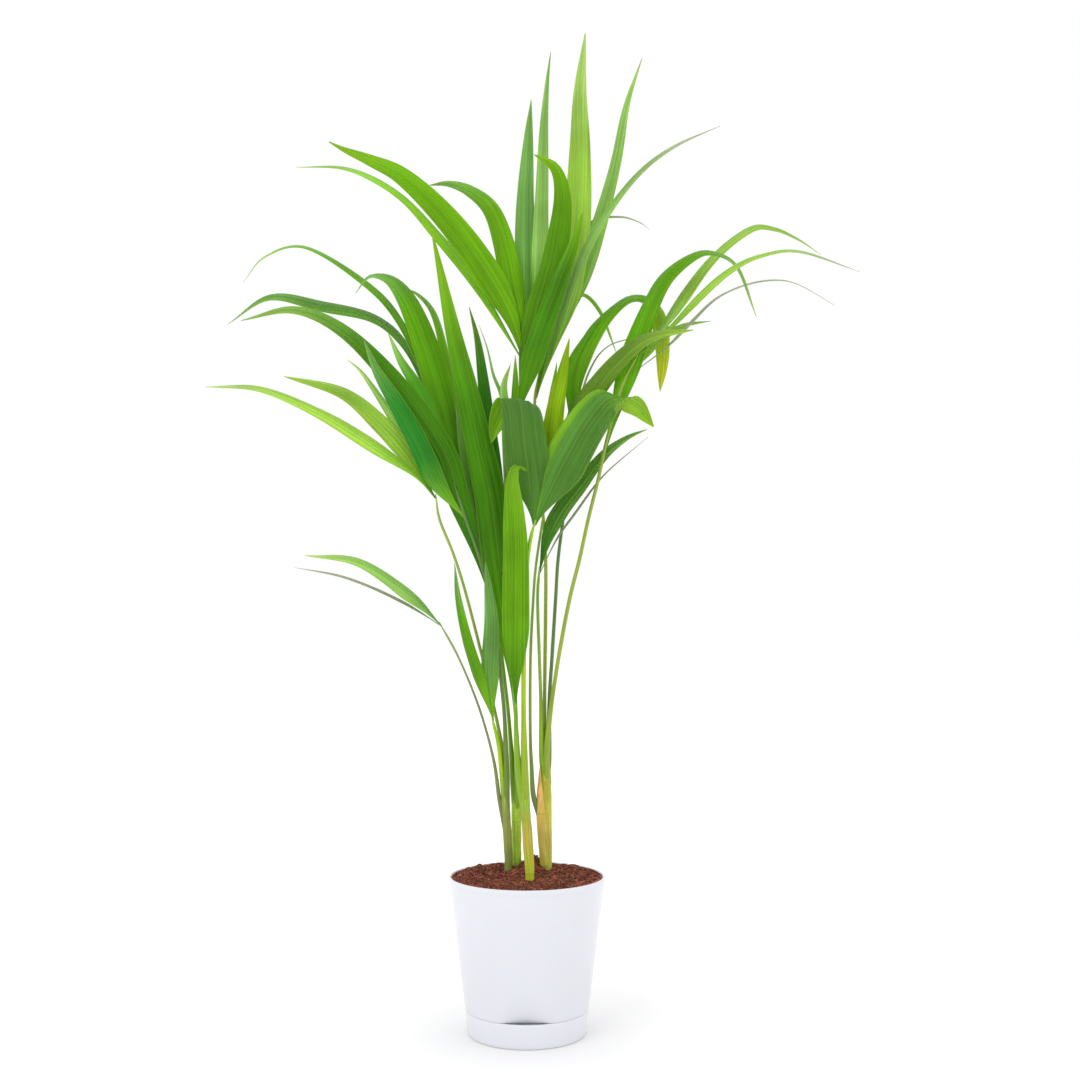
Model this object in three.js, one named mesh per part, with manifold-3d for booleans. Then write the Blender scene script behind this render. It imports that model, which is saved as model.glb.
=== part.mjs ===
// A young clumping palm in a self-watering pot. Millimetres, +Z up, the fill scoop faces -Y.
// The origin is the centre of the pot's underside.
import * as THREE from 'three';
import { mergeVertices } from 'three/addons/utils/BufferGeometryUtils.js';
import Module from 'manifold-3d';

const wasm = await Module();
wasm.setup();

// Driving dimensions of the pot.
const POT_HEIGHT = 125.5;
const RIM_RADIUS = 62.5;
const SEAM_HEIGHT = 20; // the pot body meets the water tray here
const SEAM_RADIUS = 49.2;
const WALL = 1.8;
const GAP = 0.3; // between pieces that touch
const ROUND = 64; // sides of every turned piece

// The floor of the pot body and the perforated foot under it, which stands in the water.
const FLOOR_TOP = SEAM_HEIGHT + 4;
const FOOT_RADIUS = 17;
const FOOT_BOTTOM = 4;
const SPIGOT_BOTTOM = 14; // the ring that plugs into the tray
const SPIGOT_RADIUS = 46.4;

// The dished scoop at the front, where water is poured in.
const SCOOP = { halfWidth: 20, depth: 9, halfHeight: 17 };

// The water tray.
const TRAY_FOOT_RADIUS = 45.5;
const TRAY_FLOOR = 2;
const TRAY_WALL = 1.9;

// The soil: level at the wall, heaped at the canes.
const SOIL_EDGE = 124.5;
const SOIL_HEAP = 13;
const CANE_FOOT = 88; // the canes reach down to this height

const BLADE_THICKNESS = 1.4;
const BLADE_FOLD = THREE.MathUtils.degToRad(20); // each half blade slopes down from the midrib
const BLADE_STATIONS = 9;
const STALK_SIDES = 6;
const CANE_SIDES = 10;

const part = new THREE.Group();

function addPart(name, solid, colour, roughness) {
  const mesh = solid.getMesh();
  const geometry = new THREE.BufferGeometry();
  geometry.setAttribute('position', new THREE.BufferAttribute(mesh.vertProperties, 3));
  geometry.setIndex(new THREE.BufferAttribute(mesh.triVerts, 1));
  geometry.computeVertexNormals();
  const material = new THREE.MeshStandardMaterial({ color: colour, roughness, metalness: 0 });
  const piece = new THREE.Mesh(geometry, material);
  piece.name = name;
  part.add(piece);
}

function toSolid(geometry) {
  const bare = geometry.clone();
  bare.deleteAttribute('normal');
  bare.deleteAttribute('uv');
  const merged = mergeVertices(bare, 1e-4);
  return new wasm.Manifold(new wasm.Mesh({
    numProp: 3,
    vertProperties: new Float32Array(merged.attributes.position.array),
    triVerts: new Uint32Array(merged.index.array),
  }));
}

// A solid of revolution about +Z from [radius, height] pairs that start and end on the axis.
function turned(profile) {
  const outline = profile.map(([radius, height]) => new THREE.Vector2(radius, height));
  return toSolid(new THREE.LatheGeometry(outline, ROUND).rotateX(Math.PI / 2));
}

function ellipsoid(x, y, z, centre) {
  const ball = new THREE.SphereGeometry(1, 36, 20).scale(x, y, z);
  return toSolid(ball.translate(...centre));
}

function drill(radius, height, centre) {
  const cylinder = new THREE.CylinderGeometry(radius, radius, height, 12).rotateX(Math.PI / 2);
  return toSolid(cylinder.translate(...centre));
}

function curveThrough(points) {
  return new THREE.CatmullRomCurve3(points.map((p) => new THREE.Vector3(...p)), false, 'catmullrom');
}

// A round rod along a smooth curve through the points.
function rod(points, radius, sides, stepLength = 24) {
  const circle = new THREE.Shape().absarc(0, 0, radius, 0, 2 * Math.PI);
  const curve = curveThrough(points);
  return toSolid(new THREE.ExtrudeGeometry(circle, {
    steps: Math.max(2, Math.round(curve.getLength() / stepLength)),
    curveSegments: sides / 2,
    extrudePath: curve,
  }));
}

// How wide a blade is along its length: narrow where it leaves the stalk, pointed at the tip.
// The higher fade is, the nearer the tip it stays wide.
function bladeShape(t, fade) {
  return (0.35 + 0.65 * THREE.MathUtils.smoothstep(t, 0, 0.35)) * (1 - 0.97 * t ** fade);
}

// The turn at a share t of a blade's length, from one turn or from several spaced evenly along it.
function turnAt(turns, t) {
  const place = Math.min(t, 0.9999) * (turns.length - 1);
  const start = Math.floor(place);
  return THREE.MathUtils.lerp(turns[start], turns[start + 1] ?? turns[start], place - start);
}

// The direction across a blade. A turn of 0 faces the blade to -Y, 90 faces it to the left as it
// rises, and several turns twist it. A blade that folds over has its own direction across.
function acrossBlade(leaf, t, tangent) {
  if (leaf.across) {
    const across = new THREE.Vector3(...leaf.across[0]).lerp(new THREE.Vector3(...leaf.across[1]), t);
    return across.addScaledVector(tangent, -across.dot(tangent)).normalize();
  }
  const level = new THREE.Vector3().crossVectors(tangent, new THREE.Vector3(0, 1, 0)).normalize();
  const back = new THREE.Vector3().crossVectors(level, tangent);
  const turn = THREE.MathUtils.degToRad(turnAt([leaf.turn].flat(), t));
  return level.multiplyScalar(Math.cos(turn)).addScaledVector(back, Math.sin(turn));
}

// One leaflet: a thin blade with a raised midrib, lofted along its curve.
function blade(leaf) {
  const curve = curveThrough(leaf.path);
  const positions = [];
  const triangles = [];
  for (let i = 0; i <= BLADE_STATIONS; i++) {
    const t = i / BLADE_STATIONS;
    const centre = curve.getPointAt(t);
    const tangent = curve.getTangentAt(t);
    const across = acrossBlade(leaf, t, tangent);
    const face = new THREE.Vector3().crossVectors(tangent, across);
    const half = leaf.width * bladeShape(t, leaf.fade) / 2;
    const reach = half * Math.cos(BLADE_FOLD);
    const drop = half * Math.sin(BLADE_FOLD);
    const rise = BLADE_THICKNESS / 2 * Math.min(1, 0.4 + 2 * (1 - t));
    for (const [side, up] of [[reach, -drop], [0, rise], [-reach, -drop], [0, -rise]]) {
      const corner = centre.clone().addScaledVector(across, side).addScaledVector(face, up);
      positions.push(...corner.toArray());
    }
    if (i === 0) continue;
    const old = 4 * (i - 1);
    for (let k = 0; k < 4; k++) {
      const next = (k + 1) % 4;
      triangles.push(old + k, old + next, old + 4 + next, old + k, old + 4 + next, old + 4 + k);
    }
  }
  const last = 4 * BLADE_STATIONS;
  triangles.push(0, 3, 1, 1, 3, 2);
  triangles.push(last, last + 1, last + 3, last + 1, last + 2, last + 3);
  const geometry = new THREE.BufferGeometry();
  geometry.setAttribute('position', new THREE.Float32BufferAttribute(positions, 3));
  geometry.setIndex(triangles);
  return toSolid(geometry);
}

// A frond is one leaf: its stalk and its leaflets in one piece.
function addFrond(name, colour, radius, stalk, leaflets) {
  const solids = [rod(stalk, radius, STALK_SIDES), ...leaflets.map(blade)];
  addPart(name, wasm.Manifold.union(solids), colour, 0.5);
}

// ---- pot ----

const wallRadiusAt = (height) =>
  SEAM_RADIUS + (RIM_RADIUS - SEAM_RADIUS) * (height - SEAM_HEIGHT) / (POT_HEIGHT - SEAM_HEIGHT);

const potEnvelope = turned([
  [0, SEAM_HEIGHT + 0.5],
  [wallRadiusAt(SEAM_HEIGHT + 0.5), SEAM_HEIGHT + 0.5],
  [wallRadiusAt(POT_HEIGHT - 1), POT_HEIGHT - 1],
  [0, POT_HEIGHT - 1],
]);
const scoopCentre = [0, -wallRadiusAt(SEAM_HEIGHT) - 0.5, SEAM_HEIGHT];
const scoopShell = ellipsoid(SCOOP.halfWidth + WALL, SCOOP.depth + WALL, SCOOP.halfHeight + WALL, scoopCentre)
  .intersect(potEnvelope);

// One moulding: tapered wall, rolled rim, floor, spigot and foot.
function makePotBody() {
  const shell = turned([
    [0, FOOT_BOTTOM],
    [FOOT_RADIUS - 3, FOOT_BOTTOM],
    [FOOT_RADIUS, FLOOR_TOP - 2],
    [SPIGOT_RADIUS - WALL, FLOOR_TOP - 2],
    [SPIGOT_RADIUS - WALL, SPIGOT_BOTTOM],
    [SPIGOT_RADIUS, SPIGOT_BOTTOM],
    [SPIGOT_RADIUS, SEAM_HEIGHT],
    [SEAM_RADIUS, SEAM_HEIGHT],
    [wallRadiusAt(POT_HEIGHT - 4), POT_HEIGHT - 4],
    [RIM_RADIUS, POT_HEIGHT - 3.2],
    [RIM_RADIUS, POT_HEIGHT - 0.8],
    [RIM_RADIUS - 0.8, POT_HEIGHT],
    [RIM_RADIUS - 1.4, POT_HEIGHT],
    [RIM_RADIUS - 2.2, POT_HEIGHT - 0.8],
    [SEAM_RADIUS - WALL, FLOOR_TOP],
    [FOOT_RADIUS - WALL, FLOOR_TOP],
    [FOOT_RADIUS - 3 - WALL, FOOT_BOTTOM + WALL],
    [0, FOOT_BOTTOM + WALL],
  ]);
  const scoopHollow = ellipsoid(SCOOP.halfWidth, SCOOP.depth, SCOOP.halfHeight, scoopCentre);
  const holes = [drill(2.5, 10, [0, 0, FOOT_BOTTOM])];
  for (let i = 0; i < 6; i++) {
    const angle = i * Math.PI / 3;
    holes.push(drill(2, 10, [9 * Math.cos(angle), 9 * Math.sin(angle), FOOT_BOTTOM]));
    holes.push(drill(2, 10, [31 * Math.cos(angle), 31 * Math.sin(angle), FLOOR_TOP]));
  }
  return shell.add(scoopShell).subtract(scoopHollow).subtract(wasm.Manifold.union(holes));
}

// The tray stands on its flat underside. Its lip closes the seam under the pot body.
function makeWaterTray() {
  const top = SEAM_HEIGHT - GAP;
  return turned([
    [0, 0],
    [TRAY_FOOT_RADIUS, 0],
    [TRAY_FOOT_RADIUS + 1.3, 0.5],
    [TRAY_FOOT_RADIUS + 1.9, 1.8],
    [SEAM_RADIUS, top],
    [SEAM_RADIUS - TRAY_WALL, top],
    [TRAY_FOOT_RADIUS, TRAY_FLOOR + 1],
    [TRAY_FOOT_RADIUS - 1.5, TRAY_FLOOR],
    [0, TRAY_FLOOR],
  ]);
}

// ---- canes ----
// name, radius, points from the foot in the soil up to where the stalks leave

const CANES = [
  ['cane_left', 3.4, [[-15, 4, CANE_FOOT], [-15, 4, 140], [-17, 4, 175], [-18.4, 4, 206]]],
  ['cane_back', 3.9, [[-8.6, 14, CANE_FOOT], [-8.6, 14, 140], [-8.8, 12.5, 175], [-9, 11, 200]]],
  ['cane_front', 3.9, [[3, -22, CANE_FOOT], [2.4, -22, 130], [0.2, -21.6, 165], [-3.4, -20, 209]]],
  ['cane_right', 4.4, [[16, 4, CANE_FOOT], [15.7, 4, 140], [15.2, 4, 185], [15.2, 4, 222]]],
];
const SHEATH_TIP = [[14, 3, 148], [10, 1.5, 178], [9.4, 0.6, 194], [10.4, 0, 210]]; // off cane_right

function makeCane(name, radius, points) {
  const stem = rod(points, radius, CANE_SIDES);
  return name === 'cane_right' ? stem.add(rod(SHEATH_TIP, 2.6, STALK_SIDES)) : stem;
}

function makeSoil() {
  const inner = (height) => wallRadiusAt(height) - WALL - GAP - 0.4;
  let soil = turned([
    [0, FOOT_BOTTOM + WALL + GAP],
    [FOOT_RADIUS - 3 - WALL - GAP - 0.2, FOOT_BOTTOM + WALL + GAP],
    [FOOT_RADIUS - WALL - GAP - 0.2, FLOOR_TOP + GAP],
    [inner(FLOOR_TOP), FLOOR_TOP + GAP],
    [inner(SOIL_EDGE), SOIL_EDGE],
    [44, SOIL_EDGE + 0.06 * SOIL_HEAP],
    [26, SOIL_EDGE + 0.22 * SOIL_HEAP],
    [16, SOIL_EDGE + 0.55 * SOIL_HEAP],
    [6, SOIL_EDGE + 0.9 * SOIL_HEAP],
    [0, SOIL_EDGE + SOIL_HEAP],
  ]);
  soil = soil.subtract(ellipsoid(SCOOP.halfWidth + WALL + GAP, SCOOP.depth + WALL + GAP,
    SCOOP.halfHeight + WALL + GAP, scoopCentre));
  for (const [, radius, points] of CANES) {
    const [foot, ...rest] = points;
    const below = [foot[0], foot[1], foot[2] - GAP];
    soil = soil.subtract(rod([below, ...rest], radius + GAP, CANE_SIDES));
  }
  return soil;
}

// ---- fronds ----
// Each leaflet has a width, a turn (or a direction across), a fade and the points of its midrib.

const leaf = (width, turn, fade, ...path) => ({ width, turn, fade, path });
const folded = (width, across, fade, ...path) => ({ width, across, fade, path });

function addFronds() {
  addFrond('frond_low_left', 0x7a9c58, 1.1,
    [[-22.6, 4, 188], [-27, 4, 218], [-38, 2, 258], [-54, 0, 298], [-70, -4, 328]], [
      leaf(12, -30, 2.6, [-68, -4, 325], [-90, -9, 347], [-131, -20, 375], [-172, -34, 380]),
      leaf(8, -75, 2.6, [-68, -4, 325], [-102, 8, 346], [-149, 24, 365], [-193, 38, 373]),
    ]);

  addFrond('frond_low_bifid', 0x649a38, 1.4,
    [[-20.2, 3.3, 206.6], [-23, 2, 230], [-28, 0, 251]], [
      leaf(12, 25, 2.6, [-27, 0, 249], [-38, -5, 282], [-48, -10, 314], [-54.5, -14, 346],
        [-57, -16, 374]),
      leaf(16, -10, 3, [-27, 0, 249], [-29, -2, 290], [-28, -5, 330], [-33, -9, 376]),
    ]);

  addFrond('frond_left_yellow', 0x8cb840, 1.4,
    [[-17.9, 6.2, 206.6], [-21.5, 8, 234], [-32, 9, 282], [-48, 8, 346], [-59, 5, 382], [-70, 1, 410],
      [-73, -1, 430]], [
      leaf(16, -45, 2.6, [-73, -1, 427], [-90, -8, 447], [-124, -25, 470], [-159, -45, 490],
        [-201, -62, 505], [-239, -75, 504]),
      leaf(19, -25, 2.6, [-73, -1, 427], [-93, 2, 460], [-117, 6, 488], [-149, 12, 514], [-198, 20, 528]),
      leaf(12, -40, 2.6, [-73, -1, 427], [-92, 6, 460], [-107, 14, 492], [-134, 30, 531], [-149, 38, 545]),
    ]);

  addFrond('frond_left_teal', 0x468222, 1.6,
    [[-16.5, 2.5, 206.6], [-18, 4, 250], [-21, 6, 282], [-26, 6, 330], [-38, 2, 378], [-49, -3, 410],
      [-58, -6, 438]], [
      leaf(24, -15, 2.2, [-31, 4.5, 352], [-43, 0, 392], [-55, -5, 430], [-67, -9, 467],
        [-102, -18, 516], [-141, -32, 554], [-178, -46, 568], [-216, -58, 557]),
      leaf(21, 20, 2.6, [-49, -3, 410], [-72, -12, 439], [-87, -20, 470], [-102, -28, 498],
        [-116, -36, 522], [-125, -44, 545]),
      leaf(16, -20, 2.6, [-56, -6, 434], [-70, 0, 474], [-85, 4, 512], [-102, 10, 540], [-113, 16, 563]),
    ]);

  addFrond('frond_left_tall', 0x5a9222, 1.6,
    [[-11.3, 11.4, 200.6], [-15, 18.5, 250], [-19.5, 20.5, 290], [-26, 21, 346], [-32, 22, 378],
      [-39, 24, 406], [-49, 27, 434], [-56, 27, 462]], [
      leaf(15, -60, 2.6, [-55, 27, 458], [-72, 28, 510], [-103, 32, 575], [-135, 40, 611],
        [-187, 54, 643], [-223, 64, 637], [-242, 70, 617]),
      leaf(25, [-10, -10, -15, -70], 3.4, [-55, 27, 458], [-69, 23, 509], [-88, 19, 570],
        [-106, 13, 602], [-126, 6, 607], [-138, 2, 591]),
      leaf(15, -50, 3.4, [-49, 27, 434], [-57, 35, 498], [-66, 40, 546], [-77, 44, 584], [-92, 48, 602],
        [-108, 52, 608]),
      leaf(18, [-88, -86, -60, -25, -50], 3.4, [-49, 27, 434], [-81, 36, 520], [-102, 42, 561],
        [-130, 48, 584], [-175, 58, 595], [-220, 68, 604], [-257, 76, 582]),
      leaf(15, -10, 2.6, [-26, 21, 346], [-31, 20, 372], [-38, 19, 405], [-47, 18, 445], [-54, 18, 480],
        [-58, 18, 505]),
    ]);

  addFrond('frond_upright', 0x6ca11c, 2.2,
    [[-8, 13.4, 200.6], [-8.3, 14.5, 225], [-9.5, 14, 254]], [
      leaf(33, 0, 2.2, [-9.5, 14, 250], [-12, 13.5, 290], [-17, 12, 335], [-23, 10, 380], [-30, 10, 430],
        [-40, 10, 476], [-49, 8, 517], [-60, 4, 564], [-70, 0, 612], [-76, -2, 640]),
      leaf(18, -20, 2.6, [-20, 10.5, 366], [-26, 20, 440], [-32, 28, 494], [-36, 31, 528],
        [-41, 34, 561], [-48, 36, 588]),
      leaf(10, 60, 2.6, [-19, 11, 360], [-18, 22, 420], [-20, 32, 470], [-22, 40, 512], [-29, 44, 533],
        [-34, 48, 556], [-41, 52, 577]),
    ]);

  addFrond('frond_top_left', 0x6cab12, 1.7,
    [[-7.9, 8.8, 200.6], [-9, 8, 250], [-11, 5, 300], [-12, 3, 346], [-12, 4, 410], [-10, 9, 458],
      [-5, 15, 506], [-2, 20, 541], [1, 24, 562]], [
      leaf(26, 10, 2.6, [-2, 20, 538], [-16, 14, 581], [-44, 2, 625], [-71, -14, 655], [-98, -30, 676],
        [-120, -44, 683], [-138, -56, 687], [-149, -62, 691]),
      leaf(15, -45, 2.6, [-2, 20, 538], [-39, 30, 603], [-73, 38, 648], [-107, 48, 685], [-151, 62, 711],
        [-198, 74, 716]),
      leaf(22, 0, 2.6, [-1, 21, 548], [-12, 23, 600], [-19, 25, 637], [-30, 28, 667], [-48, 34, 684],
        [-66, 42, 692], [-82, 50, 693]),
      leaf(20, -15, 2.8, [0, 22, 556], [-1, 32, 626], [-1, 40, 680], [1, 50, 731], [3, 60, 768]),
      leaf(17, 20, 2, [0, 22, 556], [8, 25, 600], [11, 22, 673], [13, 18, 728], [16, 14, 765],
        [19, 10, 788]),
      leaf(25, 5, 3.6, [-7, 12, 496], [0, 15, 536], [10, 13, 581], [21, 2, 617], [28, -10, 659],
        [23, -22, 683], [6, -36, 690]),
      leaf(21, 10, 3, [-7, 12, 494], [1, 8, 530], [13, 2, 566], [26, -6, 600], [37, -10, 628],
        [44, -12, 652]),
      leaf(11, 20, 2.6, [-10, 9, 458], [-10, 22, 500], [-10, 30, 547]),
      leaf(12, -20, 2.6, [-10, 9, 458], [-17, 24, 500], [-19, 32, 522], [-14, 38, 541]),
    ]);

  addFrond('frond_top_right', 0x7ab03c, 1.6,
    [[13.5, 6.8, 222.6], [14, 10, 260], [14.5, 13, 298], [15, 16, 340], [15, 19, 378], [13, 23, 414],
      [9, 27, 460], [6, 31, 506], [10, 34, 536]], [
      leaf(27, 0, 3, [7, 32, 512], [21, 32, 565], [34, 29, 608], [41, 25, 656], [43, 20, 712],
        [43, 15, 759], [47, 12, 804]),
      leaf(18, 25, 2.2, [9, 33, 525], [26, 36, 572], [46, 38, 618], [61, 42, 666], [73, 48, 712],
        [83, 58, 763], [97, 66, 806]),
      leaf(14, 45, 2.2, [7, 32, 512], [24, 22, 566], [42, 10, 618], [58, 0, 647], [77, -10, 672],
        [96, -20, 689], [119, -30, 701], [149, -42, 710]),
      leaf(13, 60, 3, [9, 33, 525], [28, 42, 590], [42, 47, 640], [54, 52, 664], [78, 60, 670],
        [95, 70, 668], [104, 78, 664]),
      leaf(10, 50, 3, [9, 33, 525], [26, 46, 570], [43, 56, 603], [61, 62, 592], [76, 66, 554]),
    ]);

  addFrond('frond_right', 0x7fae40, 1.7,
    [[15.7, 1.3, 222.6], [18, 0, 250], [25, -1, 298], [34, -1, 346], [42, 0, 378], [49, 1, 410],
      [57, 2, 442], [63, 3, 470], [71, 4, 500], [79, 5, 524], [90, 6, 544]], [
      leaf(24, [10, 10, 30, 55, 40], 1.7, [63, 3, 466], [74, 4.5, 508], [87, 6, 551], [98, 8, 582],
        [111, 8, 606], [131, 6, 622], [148, 2, 625], [168, -6, 611], [181, -16, 569]),
      leaf(14, 45, 2.6, [88, 6, 541], [109, 14, 567], [149, 28, 624], [184, 40, 654], [206, 46, 656],
        [228, 52, 648], [247, 58, 637]),
      leaf(14, 60, 2.2, [88, 6, 541], [110, 0, 560], [137, -12, 588], [159, -22, 605], [181, -34, 613],
        [209, -50, 612], [250, -70, 591]),
      leaf(9, 75, 2.6, [79, 5, 524], [111, 16, 550], [133, 30, 574], [156, 44, 597], [183, 58, 612],
        [210, 70, 619], [233, 80, 617], [266, 92, 602]),
      leaf(10, 40, 2.6, [79, 5, 524], [104, 22, 556], [128, 36, 573], [154, 52, 580]),
    ]);

  addFrond('frond_centre_right', 0x54862e, 1.6,
    [[17.3, 5.4, 222.6], [18, 6, 266], [20, 8, 298], [23, 10, 346], [25, 11, 378], [29, 12, 410],
      [33, 12, 442], [37, 12, 474]], [
      leaf(21, 10, 2.6, [33, 12, 442], [40, 8, 492], [59, 2, 521], [81, -6, 544], [101, -12, 555],
        [131, -18, 558]),
      leaf(21, [0, 10, 45, 65, 30, 0], 7, [37, 12, 470], [38, 16, 530], [54, 22, 566], [70, 27, 586],
        [85, 31, 596], [100, 35, 595], [110, 38, 581], [113, 40, 554], [110, 40, 519]),
      leaf(6, 80, 2.6, [37, 12, 470], [44, 20, 515], [54, 27, 541], [66, 32, 555], [82, 38, 562],
        [102, 44, 567], [123, 50, 571]),
    ]);

  addFrond('frond_front_bifid', 0x5f8c3e, 2,
    [[-1.7, -20.6, 209.6], [-2.5, -21, 267], [-2, -21.5, 314], [0, -23.5, 369], [3, -26, 393],
      [7, -27, 408]], [
      folded(38, [[-1, 0, 0], [-1, 0, 0.1]], 4, [6, -27, 404], [2, -28, 440], [-2, -26, 472],
        [-4, -18, 495], [-8, -6, 506], [-17, 4, 501], [-25, 8, 486], [-29, 8, 472]),
      folded(38, [[-0.8, 0, 0.6], [-1, 0, 0.1]], 4, [6, -27, 404], [20, -26, 434], [31, -25, 456],
        [43, -22, 478], [54, -19, 494], [64, -14, 505], [76, -9, 506], [87, -5, 500], [96, -3, 490],
        [101, -2, 484]),
    ]);

  addFrond('frond_right_low', 0x4a7a38, 1.5,
    [[11.9, 2.3, 222.6], [11, 1, 266], [10, -1, 298], [8.5, -3, 346], [10, -5, 372]], [
      leaf(16, 15, 2.6, [9.5, -4.6, 366], [16, -3, 396], [26, 0, 417], [42, 4, 438], [54, 9, 454],
        [66, 12, 467], [82, 14, 478], [97, 14, 484]),
      leaf(6, 75, 2.6, [9.5, -4.6, 366], [24, 1, 396], [38, 5, 416], [54, 9, 438], [68, 11, 453],
        [98, 14, 478]),
    ]);

  addFrond('frond_young_spear', 0x86a814, 1.3,
    [[5, -0.8, 190], [3.7, -0.4, 212], [2.6, 0.6, 240], [2.8, 2, 300], [5, 3, 346], [7, 3, 372],
      [11, 3, 400], [15, 2, 425]], [
      leaf(20, 0, 2.6, [14, 2, 420], [18, 1, 462], [23, 1, 500], [29, 3, 530], [34, 5, 556]),
      leaf(12, 0, 2.6, [14, 2, 420], [17, 8, 465], [20, 12, 505], [24, 13, 538]),
    ]);

  addFrond('frond_front_small', 0x5f9a22, 2,
    [[-6.3, -20, 209.6], [-8, -20.8, 232], [-8.8, -22.3, 266]], [
      folded(23, [[-1, 0, 0], [-1, 0, 0.2]], 5, [-8.7, -22.6, 262], [-8.6, -28, 305], [-8.5, -33, 347],
        [-8.5, -34, 380], [-10, -36, 415], [-11, -38, 438], [-7, -38, 449], [1, -34, 445]),
    ]);
}

addPart('pot_body', makePotBody(), 0xeceef4, 0.3);
addPart('water_tray', makeWaterTray(), 0xeceef4, 0.3);
addPart('potting_soil', makeSoil(), 0x6b3f2c, 0.95);
for (const [name, radius, points] of CANES) addPart(name, makeCane(name, radius, points), 0x9aa83a, 0.6);
addFronds();

export default part;
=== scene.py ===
"""A young clumping palm in a white self-watering pot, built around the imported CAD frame.

Lengths in the tables are millimetres in the frame's axes: +Z up, the fill scoop towards -Y.
"""

import math
import random

import bmesh
import bpy
from mathutils import Matrix, Vector, noise


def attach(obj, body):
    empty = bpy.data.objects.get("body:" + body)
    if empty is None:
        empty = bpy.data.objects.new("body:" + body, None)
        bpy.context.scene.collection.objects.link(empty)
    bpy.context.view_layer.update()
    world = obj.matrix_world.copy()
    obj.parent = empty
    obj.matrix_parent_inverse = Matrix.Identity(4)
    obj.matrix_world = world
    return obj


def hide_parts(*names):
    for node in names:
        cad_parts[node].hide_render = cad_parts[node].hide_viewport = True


MM = 0.001
SEED = 7

# The pot, as in the CAD, but with a scoop that is shallower and a little wider.
POT_HEIGHT = 125.5
RIM_RADIUS = 62.5
SEAM_HEIGHT = 20
SEAM_RADIUS = 49.2
WALL = 1.8
FLOOR_TOP = 24
FOOT_RADIUS = 17
FOOT_BOTTOM = 4
SPIGOT_BOTTOM = 14
SPIGOT_RADIUS = 46.4
SCOOP_HALF_WIDTH = 23
SCOOP_HEIGHT = 24
SCOOP_DEPTH = 5.5
SCOOP_CURVE = 1.5
TRAY_FOOT_RADIUS = 45.5
TRAY_FLOOR = 2
TRAY_WALL = 1.9
INNER_EDGE = FOOT_RADIUS + 12  # the scoop doesn't reach further in than this
POT_SIDES = 192

# The soil.
SOIL_EDGE = 124.5
SOIL_GAP = 0.3
SOIL_RADIUS = 59.6  # no crumb or fibre lies further out
SOIL_SIDES = 180
SOIL_RINGS = 46
SOIL_LEVELS = range(28, 123, 6)
CRUMBS = 4200
FIBRES = 420
FIBRE_RADIUS = 0.17

# The canes and stalks.
CAP_HEIGHT = 0.6  # how far a tube's end bulges, as a share of its radius
OLD_SHEATH_RADIUS = 3.7
SHEATH_SPACING = 38  # between the rings that old leaves left on a cane
STALK_DEPTH = 38  # how far down its cane a stalk's own sheath starts

# The leaves.
BLADE_FOLD = math.radians(20)
BLADE_STATIONS = 56
HALF_COLUMNS = 10
FINE_STEPS = 16  # straight steps between two given points of a smooth curve
BASE_WIDTH = 0.08  # the share of its width that a blade has at its base
WIDE_BY = 0.33  # the share of its length by which it has its full width
TIP_NARROWING = 0.97
EDGE_WAVE = 0.07
WAVE_LENGTH = 17  # in millimetres for each radian
PLEAT_DEPTH = 0.035
PLEAT_TURN = 15.7  # in radians across half a blade: two and a half pleats
BLADE_THICKNESS = 0.28
RIB_THICKNESS = 0.5


def colour(code):
    """A linear colour from an sRGB hex code."""
    parts = [int(code[i : i + 2], 16) / 255 for i in (0, 2, 4)]
    return Vector([p / 12.92 if p <= 0.04045 else ((p + 0.055) / 1.055) ** 2.4 for p in parts])


SHEEN = Vector((0.022, 0.028, 0.008))  # what the bright surroundings add to a waxy leaf


def leaf_colour(code):
    """The colour under the sheen, so that the lit leaf has the one named."""
    return Vector([max(0.002, 0.92 * (c - s)) for c, s in zip(colour(code), SHEEN)])


# The leaflets' tints: partly each leaflet's own green and partly painted light and shade, darker tints for
# leaflets turned from the light and lighter ones for those that face it.
GREENS = {
    "bright": leaf_colour("6aa410"),
    "fresh": leaf_colour("74aa26"),
    "lime": leaf_colour("96c04a"),
    "leaf": leaf_colour("5a9416"),
    "deep": leaf_colour("467e12"),
    "dark": leaf_colour("326610"),
    "shade": leaf_colour("507f34"),
    "emerald": leaf_colour("4c9424"),
    "teal": leaf_colour("307e2a"),
    "moss": leaf_colour("6a9850"),
    "pale": leaf_colour("a0c46e"),
    "pale_moss": leaf_colour("88b45c"),
    "olive": leaf_colour("64862f"),
    "yellow": leaf_colour("a8ae2e"),
    "mauve": leaf_colour("a5a698"),
    "sun": leaf_colour("88ae12"),
}

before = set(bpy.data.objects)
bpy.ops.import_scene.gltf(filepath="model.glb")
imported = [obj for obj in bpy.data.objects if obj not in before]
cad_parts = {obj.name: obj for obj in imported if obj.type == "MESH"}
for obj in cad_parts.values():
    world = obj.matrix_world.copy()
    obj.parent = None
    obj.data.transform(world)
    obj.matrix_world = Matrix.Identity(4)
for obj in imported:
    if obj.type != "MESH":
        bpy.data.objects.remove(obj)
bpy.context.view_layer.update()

# ---- mesh building ----


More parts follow.
